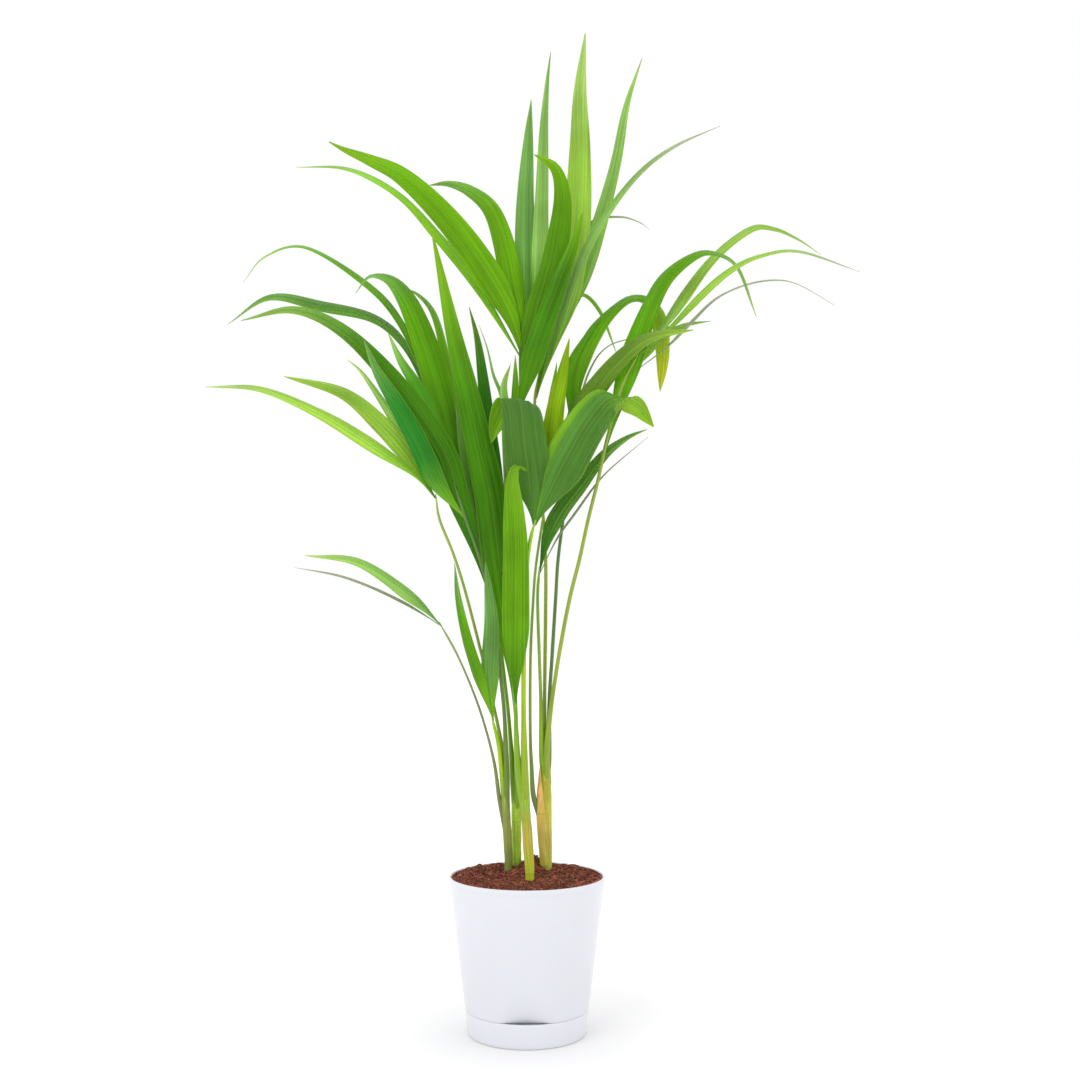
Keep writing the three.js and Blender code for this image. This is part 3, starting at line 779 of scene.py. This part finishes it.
def add_blade(builder, item, seed):
    """A thin closed blade with a midrib, pleats, a soft wave along its edges and a pointed tip."""
    centres, ways, length = even_points(item["path"], BLADE_STATIONS)
    looks = [GREENS[name] for name in item["looks"]]
    front, back = looks[:3], looks[3]
    margin = looks[4] if len(looks) > 4 else None
    painted_half_light = 0.16 if seed % 2 else -0.14  # painted light: one half of a pleated blade is painted lighter than the other, as if it caught the light
    rings = []
    for i, (centre, way) in enumerate(zip(centres, ways)):
        t = i / BLADE_STATIONS
        across = across_blade(item, t, way)
        face = way.cross(across)
        half = item["width"] * blade_shape(t, item["fade"]) / 2
        tint = mix(front[0], front[1], smoothstep(t, 0.0, 0.4))
        tint = mix(tint, front[2], smoothstep(t, 0.62, 1.0))
        under = mix(back, front[2], smoothstep(t, 0.75, 1.0))
        sunk = half * math.sin(BLADE_FOLD)
        pleat = PLEAT_DEPTH * half * smoothstep(t, 0.05, 0.3)
        upper, lower = [], []
        for u in COLUMNS:
            a = abs(u)
            phase = t * length / WAVE_LENGTH + seed + (2 if u > 0 else 0)
            wave = EDGE_WAVE * half * a * a * math.sin(phase)
            fold = -sunk * (a - 0.22 * math.sin(math.pi * a))
            lift = fold + wave + pleat * math.cos(a * PLEAT_TURN + 3.14)
            spot = centre + across * (half * math.cos(BLADE_FOLD) * u) + face * lift
            rib = RIB_THICKNESS * max(0.0, 1 - a * 8)
            thick = (BLADE_THICKNESS + rib) * min(1.0, 0.35 + 2.5 * (1 - t))
            mottle = 1 + 0.12 * noise.noise(Vector((u * 1.6, t * 5, seed)))
            # side: the leaflet's own random mottle, plus painted light on one half of the blade
            side = mottle + painted_half_light * smoothstep(u, -0.1, 0.1)
            place = (half * u + seed * 40, t * length)
            shown = tint if margin is None else mix(tint, margin, smoothstep(u, 0.5, 0.8))
            upper.append(builder.add(spot, shown * side, place, a))
            lower.append(builder.add(spot - face * thick, under * side, place, a))
        rings.append(upper + lower[::-1])
    builder.loft(rings)
    size = len(COLUMNS)
    for ring in (rings[0], rings[-1]):
        for k in range(size - 1):
            builder.face((ring[k], ring[k + 1], ring[2 * size - 2 - k], ring[2 * size - 1 - k]))


def cane_point(name, height):
    """The point on a cane's middle line at a height."""
    points = [Vector(p) for p in CANES[name][1]]
    for a, b in zip(points, points[1:]):
        if b.z >= height or b is points[-1]:
            return a.lerp(b, (height - a.z) / (b.z - a.z))
    return points[-1]


def add_stalk(builder, cane, radius, stalk, codes):
    """The leaf stalk, which widens where it leaves the cane, down to its sheath."""
    start = Vector(stalk[0])
    sunk = cane_point(cane, start.z - STALK_DEPTH)
    points = [sunk, sunk.lerp(start, 0.6), *stalk]
    length = straight_length(points)

    def radius_at(t):
        sheath = 0.7 * (1 - smoothstep(t * length, 20, 90))
        neck = 0.42 * smoothstep(t, 0.93, 1)
        return radius * (1.05 + sheath - 0.3 * t - neck)

    tube(builder, points, radius_at, tint_run(codes), sides=10, step=5, slot=1)


def frond(name, cane, radius, codes, stalk, leaflets):
    """One leaf: the stalk's radius, tints and points from its cane up, and its leaflets."""
    builder = Builder()
    add_stalk(builder, cane, radius, stalk, codes)
    for number, item in enumerate(leaflets):
        add_blade(builder, item, (hash_name(name) + number * 7) % 53)
    builder.piece("leaf_" + name, [LEAF, STALK], "frond_" + name)


def hash_name(name):
    """A number that differs from name to name, so that no two fronds wave alike."""
    return sum(ord(c) * (i + 1) for i, c in enumerate(name))


OLIVE_STALK = ["8ea23a", "93a63e", "92ab48"]
GREEN_STALK = ["86ac30", "80a62c", "74a41e"]
BRIGHT_STALK = ["8aa434", "9cbc1c", "8fc014"]
DARK_STALK = ["6f8a3a", "627f46", "5f7f48"]
GREY_STALK = ["74804a", "7d8658", "8a9a62"]
SPEAR_STALK = ["6a7646", "7f9a38", "8cae34"]


def make_fronds():
    frond("low_left", "left", 1.1, GREY_STALK,
          [(-22.6, 4, 188), (-27, 4, 218), (-38, 2, 258), (-54, 0, 298), (-70, -4, 328)], [
              leaf(12, -30, 2.6, (-68, -4, 325), (-90, -9, 347), (-131, -20, 375), (-172, -34, 380),
                  looks=("moss", "pale_moss", "pale", "pale_moss")),
              leaf(8, -75, 2.6, (-68, -4, 325), (-102, 8, 346), (-149, 24, 365), (-193, 38, 373),
                  looks=("moss", "mauve", "mauve", "moss")),
          ])

    frond("low_bifid", "left", 1.4, BRIGHT_STALK,
          [(-20.2, 3.3, 206.6), (-23, 2, 230), (-28, 0, 251)], [
              leaf(12, 25, 2.6, (-27, 0, 249), (-38, -5, 282), (-48, -10, 314), (-54.5, -14, 346),
                  (-57, -16, 374), looks=("fresh", "leaf", "moss", "pale_moss")),
              leaf(16, -10, 3, (-27, 0, 249), (-29, -2, 290), (-28, -5, 330), (-33, -9, 376),
                  looks=("fresh", "moss", "moss", "pale_moss")),
          ])

    frond("left_yellow", "left", 1.4, OLIVE_STALK,
          [(-17.9, 6.2, 206.6), (-21.5, 8, 234), (-32, 9, 282), (-48, 8, 346), (-59, 5, 382), (-70, 1, 410),
           (-73, -1, 430)], [
              leaf(16, -45, 2.6, (-73, -1, 427), (-90, -8, 447), (-124, -25, 470), (-159, -45, 490),
                  (-201, -62, 505), (-239, -75, 504), looks=("fresh", "lime", "pale", "lime")),
              leaf(19, -25, 2.6, (-73, -1, 427), (-93, 2, 460), (-117, 6, 488), (-149, 12, 514),
                  (-198, 20, 528), looks=("bright", "lime", "lime", "pale_moss")),
              leaf(12, -40, 2.6, (-73, -1, 427), (-92, 6, 460), (-107, 14, 492), (-134, 30, 531),
                  (-149, 38, 545), looks=("bright", "pale_moss", "pale", "pale")),
          ])

    frond("left_teal", "left", 1.6, DARK_STALK,
          [(-16.5, 2.5, 206.6), (-18, 4, 250), (-21, 6, 282), (-26, 6, 330), (-38, 2, 378), (-49, -3, 410),
           (-58, -6, 438)], [
              leaf(24, -15, 2.2, (-31, 4.5, 352), (-43, 0, 392), (-55, -5, 430), (-67, -9, 467),
                  (-102, -18, 516), (-141, -32, 554), (-178, -46, 568), (-216, -58, 557),
                  looks=("dark", "deep", "pale_moss", "pale_moss")),
              leaf(21, 20, 2.6, (-49, -3, 410), (-72, -12, 439), (-87, -20, 470), (-102, -28, 498),
                  (-116, -36, 522), (-125, -44, 545), looks=("fresh", "teal", "moss", "pale_moss")),
              leaf(16, -20, 2.6, (-56, -6, 434), (-70, 0, 474), (-85, 4, 512), (-102, 10, 540),
                  (-113, 16, 563), looks=("dark", "emerald", "pale_moss", "pale_moss")),
          ])

    frond("left_tall", "back", 1.6, GREEN_STALK,
          [(-11.3, 11.4, 200.6), (-15, 18.5, 250), (-19.5, 20.5, 290), (-26, 21, 346), (-32, 22, 378),
           (-39, 24, 406), (-49, 27, 434), (-56, 27, 462)], [
              leaf(15, -60, 2.6, (-55, 27, 458), (-72, 28, 510), (-103, 32, 575), (-135, 40, 611),
                  (-187, 54, 643), (-223, 64, 637), (-242, 70, 617),
                  looks=("deep", "leaf", "pale_moss", "pale_moss")),
              leaf(25, (-10, -10, -15, -70), 3.4, (-55, 27, 458), (-69, 23, 509), (-88, 19, 570),
                  (-106, 13, 602), (-126, 6, 607), (-138, 2, 591),
                  looks=("deep", "leaf", "moss", "pale_moss")),
              leaf(15, -50, 3.4, (-49, 27, 434), (-57, 35, 498), (-66, 40, 546), (-77, 44, 584),
                  (-92, 48, 602), (-108, 52, 608), looks=("dark", "bright", "moss", "pale_moss")),
              leaf(18, (-88, -86, -60, -25, -50), 3.4, (-49, 27, 434), (-81, 36, 520), (-102, 42, 561),
                  (-130, 48, 584), (-175, 58, 595), (-220, 68, 604), (-257, 76, 582),
                  looks=("mauve", "shade", "moss", "shade")),
              leaf(15, -10, 2.6, (-26, 21, 346), (-31, 20, 372), (-38, 19, 405), (-47, 18, 445),
                  (-54, 18, 480), (-58, 18, 505), looks=("deep", "shade", "moss", "moss")),
          ])

    frond("upright", "back", 2.2, GREEN_STALK,
          [(-8, 13.4, 200.6), (-8.3, 14.5, 225), (-9.5, 14, 254)], [
              leaf(33, 0, 2.2, (-9.5, 14, 250), (-12, 13.5, 290), (-17, 12, 335), (-23, 10, 380),
                  (-30, 10, 430), (-40, 10, 476), (-49, 8, 517), (-60, 4, 564), (-70, 0, 612),
                  (-76, -2, 640), looks=("leaf", "deep", "fresh", "lime")),
              leaf(18, -20, 2.6, (-20, 10.5, 366), (-26, 20, 440), (-32, 28, 494), (-36, 31, 528),
                  (-41, 34, 561), (-48, 36, 588), looks=("dark", "dark", "shade", "moss")),
              leaf(10, 60, 2.6, (-19, 11, 360), (-18, 22, 420), (-20, 32, 470), (-22, 40, 512),
                  (-29, 44, 533), (-34, 48, 556), (-41, 52, 577),
                  looks=("deep", "moss", "pale", "pale_moss")),
          ])

    frond("top_left", "back", 1.7, GREEN_STALK,
          [(-7.9, 8.8, 200.6), (-9, 8, 250), (-11, 5, 300), (-12, 3, 346), (-12, 4, 410), (-10, 9, 458),
           (-5, 15, 506), (-2, 20, 541), (1, 24, 562)], [
              leaf(26, 10, 2.6, (-2, 20, 538), (-16, 14, 581), (-44, 2, 625), (-71, -14, 655),
                  (-98, -30, 676), (-120, -44, 683), (-138, -56, 687), (-149, -62, 691),
                  looks=("bright", "bright", "fresh", "pale_moss")),
              leaf(15, -45, 2.6, (-2, 20, 538), (-39, 30, 603), (-73, 38, 648), (-107, 48, 685),
                  (-151, 62, 711), (-198, 74, 716), looks=("fresh", "fresh", "pale_moss", "pale")),
              leaf(22, 0, 2.6, (-1, 21, 548), (-12, 23, 600), (-19, 25, 637), (-30, 28, 667),
                  (-48, 34, 684), (-66, 42, 692), (-82, 50, 693),
                  looks=("bright", "bright", "moss", "pale_moss")),
              leaf(20, -15, 2.8, (0, 22, 556), (-1, 32, 626), (-1, 40, 680), (1, 50, 731), (3, 60, 768),
                  looks=("leaf", "moss", "moss", "pale_moss")),
              leaf(17, 20, 2, (0, 22, 556), (8, 25, 600), (11, 22, 673), (13, 18, 728), (16, 14, 765),
                  (19, 10, 788), looks=("leaf", "pale_moss", "moss", "moss")),
              leaf(25, 5, 3.6, (-7, 12, 496), (0, 15, 536), (10, 13, 581), (21, 2, 617), (28, -10, 659),
                  (23, -22, 683), (6, -36, 690), looks=("deep", "leaf", "bright", "moss")),
              leaf(21, 10, 3, (-7, 12, 494), (1, 8, 530), (13, 2, 566), (26, -6, 600), (37, -10, 628),
                  (44, -12, 652), looks=("leaf", "deep", "bright", "moss")),
              leaf(11, 20, 2.6, (-10, 9, 458), (-10, 22, 500), (-10, 30, 547),
                  looks=("deep", "leaf", "fresh", "leaf")),
              leaf(12, -20, 2.6, (-10, 9, 458), (-17, 24, 500), (-19, 32, 522), (-14, 38, 541),
                  looks=("deep", "pale_moss", "pale", "pale_moss")),
          ])

    frond("top_right", "right", 1.6, OLIVE_STALK,
          [(13.5, 6.8, 222.6), (14, 10, 260), (14.5, 13, 298), (15, 16, 340), (15, 19, 378), (13, 23, 414),
           (9, 27, 460), (6, 31, 506), (10, 34, 536)], [
              leaf(27, 0, 3, (7, 32, 512), (21, 32, 565), (34, 29, 608), (41, 25, 656), (43, 20, 712),
                  (43, 15, 759), (47, 12, 804), looks=("leaf", "lime", "pale", "pale")),
              leaf(18, 25, 2.2, (9, 33, 525), (26, 36, 572), (46, 38, 618), (61, 42, 666), (73, 48, 712),
                  (83, 58, 763), (97, 66, 806), looks=("deep", "pale_moss", "pale_moss", "pale_moss")),
              leaf(14, 45, 2.2, (7, 32, 512), (24, 22, 566), (42, 10, 618), (58, 0, 647), (77, -10, 672),
                  (96, -20, 689), (119, -30, 701), (149, -42, 710),
                  looks=("fresh", "pale_moss", "mauve", "pale_moss")),
              leaf(13, 60, 3, (9, 33, 525), (28, 42, 590), (42, 47, 640), (54, 52, 664), (78, 60, 670),
                  (95, 70, 668), (104, 78, 664), looks=("deep", "deep", "mauve", "pale_moss")),
              leaf(10, 50, 3, (9, 33, 525), (26, 46, 570), (43, 56, 603), (61, 62, 592), (76, 66, 554),
                  looks=("leaf", "fresh", "pale_moss", "pale")),
          ])

    frond("right", "right", 1.7, OLIVE_STALK,
          [(15.7, 1.3, 222.6), (18, 0, 250), (25, -1, 298), (34, -1, 346), (42, 0, 378), (49, 1, 410),
           (57, 2, 442), (63, 3, 470), (71, 4, 500), (79, 5, 524), (90, 6, 544)], [
              leaf(24, (10, 10, 30, 55, 40), 1.7, (63, 3, 466), (74, 4.5, 508), (87, 6, 551), (98, 8, 582),
                  (111, 8, 606), (131, 6, 622), (148, 2, 625), (168, -6, 611), (181, -16, 569),
                  looks=("leaf", "leaf", "pale_moss", "pale_moss")),
              leaf(14, 45, 2.6, (88, 6, 541), (109, 14, 567), (149, 28, 624), (184, 40, 654),
                  (206, 46, 656), (228, 52, 648), (247, 58, 637),
                  looks=("pale_moss", "lime", "pale_moss", "moss")),
              leaf(14, 60, 2.2, (88, 6, 541), (110, 0, 560), (137, -12, 588), (159, -22, 605),
                  (181, -34, 613), (209, -50, 612), (250, -70, 591),
                  looks=("fresh", "lime", "mauve", "moss")),
              leaf(9, 75, 2.6, (79, 5, 524), (111, 16, 550), (133, 30, 574), (156, 44, 597), (183, 58, 612),
                  (210, 70, 619), (233, 80, 617), (266, 92, 602),
                  looks=("pale_moss", "mauve", "mauve", "moss")),
              leaf(10, 40, 2.6, (79, 5, 524), (104, 22, 556), (128, 36, 573), (154, 52, 580),
                  looks=("fresh", "lime", "pale_moss", "fresh")),
          ])

    frond("centre_right", "right", 1.6, DARK_STALK,
          [(17.3, 5.4, 222.6), (18, 6, 266), (20, 8, 298), (23, 10, 346), (25, 11, 378), (29, 12, 410),
           (33, 12, 442), (37, 12, 474)], [
              leaf(21, 10, 2.6, (33, 12, 442), (40, 8, 492), (59, 2, 521), (81, -6, 544), (101, -12, 555),
                  (131, -18, 558), looks=("shade", "olive", "lime", "pale_moss")),
              leaf(21, (0, 10, 45, 65, 30, 0), 7, (37, 12, 470), (38, 16, 530), (54, 22, 566),
                  (70, 27, 586), (85, 31, 596), (100, 35, 595), (110, 38, 581), (113, 40, 554),
                  (110, 40, 519), looks=("deep", "leaf", "yellow", "pale_moss")),
              leaf(6, 80, 2.6, (37, 12, 470), (44, 20, 515), (54, 27, 541), (66, 32, 555), (82, 38, 562),
                  (102, 44, 567), (123, 50, 571), looks=("deep", "mauve", "mauve", "moss")),
          ])

    frond("front_bifid", "front", 2, BRIGHT_STALK,
          [(-1.7, -20.6, 209.6), (-2.5, -21, 267), (-2, -21.5, 314), (0, -23.5, 369), (3, -26, 393),
           (7, -27, 408)], [
              folded(38, [(-1, 0, 0), (-1, 0, 0.1)], 4, (6, -27, 404), (2, -28, 440), (-2, -26, 472),
                  (-4, -18, 495), (-8, -6, 506), (-17, 4, 501), (-25, 8, 486), (-29, 8, 472),
                  looks=("shade", "shade", "fresh", "fresh")),
              folded(38, [(-0.8, 0, 0.6), (-1, 0, 0.1)], 4, (6, -27, 404), (20, -26, 434), (31, -25, 456),
                  (43, -22, 478), (54, -19, 494), (64, -14, 505), (76, -9, 506), (87, -5, 500),
                  (96, -3, 490), (101, -2, 484), looks=("shade", "shade", "fresh", "lime", "fresh")),
          ])

    frond("right_low", "right", 1.5, GREEN_STALK,
          [(11.9, 2.3, 222.6), (11, 1, 266), (10, -1, 298), (8.5, -3, 346), (10, -5, 372)], [
              leaf(16, 15, 2.6, (9.5, -4.6, 366), (16, -3, 396), (26, 0, 417), (42, 4, 438), (54, 9, 454),
                  (66, 12, 467), (82, 14, 478), (97, 14, 484), looks=("dark", "shade", "moss", "moss")),
              leaf(6, 75, 2.6, (9.5, -4.6, 366), (24, 1, 396), (38, 5, 416), (54, 9, 438), (68, 11, 453),
                  (98, 14, 478), looks=("moss", "mauve", "mauve", "moss")),
          ])

    frond("young_spear", "right", 1.3, SPEAR_STALK,
          [(5, -0.8, 190), (3.7, -0.4, 212), (2.6, 0.6, 240), (2.8, 2, 300), (5, 3, 346), (7, 3, 372),
           (11, 3, 400), (15, 2, 425)], [
              leaf(20, 0, 2.6, (14, 2, 420), (18, 1, 462), (23, 1, 500), (29, 3, 530), (34, 5, 556),
                  looks=("deep", "sun", "sun", "sun")),
              leaf(12, 0, 2.6, (14, 2, 420), (17, 8, 465), (20, 12, 505), (24, 13, 538),
                  looks=("leaf", "fresh", "leaf", "leaf")),
          ])

    frond("front_small", "front", 2, GREEN_STALK,
          [(-6.3, -20, 209.6), (-8, -20.8, 232), (-8.8, -22.3, 266)], [
              folded(23, [(-1, 0, 0), (-1, 0, 0.2)], 5, (-8.7, -22.6, 262), (-8.6, -28, 305),
                  (-8.5, -33, 347), (-8.5, -34, 380), (-10, -36, 415), (-11, -38, 438), (-7, -38, 449),
                  (1, -34, 445), looks=("deep", "bright", "fresh", "pale_moss")),
          ])


# ---- stage ----


def make_stage():
    bpy.ops.mesh.primitive_plane_add(size=20)
    floor = bpy.context.object
    floor.name = "floor"
    n = Nodes("floor_paper")
    n.link(n.ramp(n.noise(n.solid(), 3.0), (0.3, 0.83), (0.7, 0.85)), "Base Color")
    # Painted light: the floor glows, faintly near the pot and more strongly from about half a metre out,
    # which whitens its far parts and lifts the shadow round the pot.
    away = n.tree.nodes.new("ShaderNodeTexGradient")
    away.gradient_type = "SPHERICAL"
    n.tree.links.new(n.solid((2.2, 2.2, 2.2)), away.inputs["Vector"])
    n.link(n.ramp(away.outputs["Fac"], (0.0, 0.3), (0.9, 0.05)), "Emission Color")
    n.set(Roughness=0.9, Specular_IOR_Level=0.1, Emission_Strength=1.0)
    floor.data.materials.append(n.material)
    world = bpy.data.worlds.new("studio")
    world.use_nodes = True
    back = world.node_tree.nodes["Background"]
    back.inputs["Color"].default_value = (1, 1, 1, 1)
    back.inputs["Strength"].default_value = 1.0
    bpy.context.scene.world = world
    bpy.context.scene.view_settings.view_transform = "Standard"
    for name, place, size, power in (
        ("key", (-1.1, -1.5, 1.9), 1.5, 9),
        ("fill", (1.6, -1.2, 1.1), 1.8, 1.5),
        ("top", (0.1, 0.4, 2.4), 1.6, 5),
    ):
        lamp = bpy.data.lights.new(name, "AREA")
        lamp.shape = "DISK"
        lamp.size = size
        lamp.energy = power
        obj = bpy.data.objects.new(name, lamp)
        obj.location = place
        obj.rotation_euler = (Vector((0, 0, 0.4)) - Vector(place)).to_track_quat("-Z", "Y").to_euler()
        bpy.context.scene.collection.objects.link(obj)


def make_camera():
    data = bpy.data.cameras.new("camera")
    data.sensor_width = 36
    data.lens = 45.83
    data.shift_y = 1 / 15
    camera = bpy.data.objects.new("camera", data)
    camera.location = (0.0104, -1.1, 0.336)
    camera.rotation_euler = (math.pi / 2, 0, 0)
    bpy.context.scene.collection.objects.link(camera)
    bpy.context.scene.camera = camera


make_camera()
make_stage()
make_pot()
make_tray()
make_soil()
make_canes()
make_fronds()
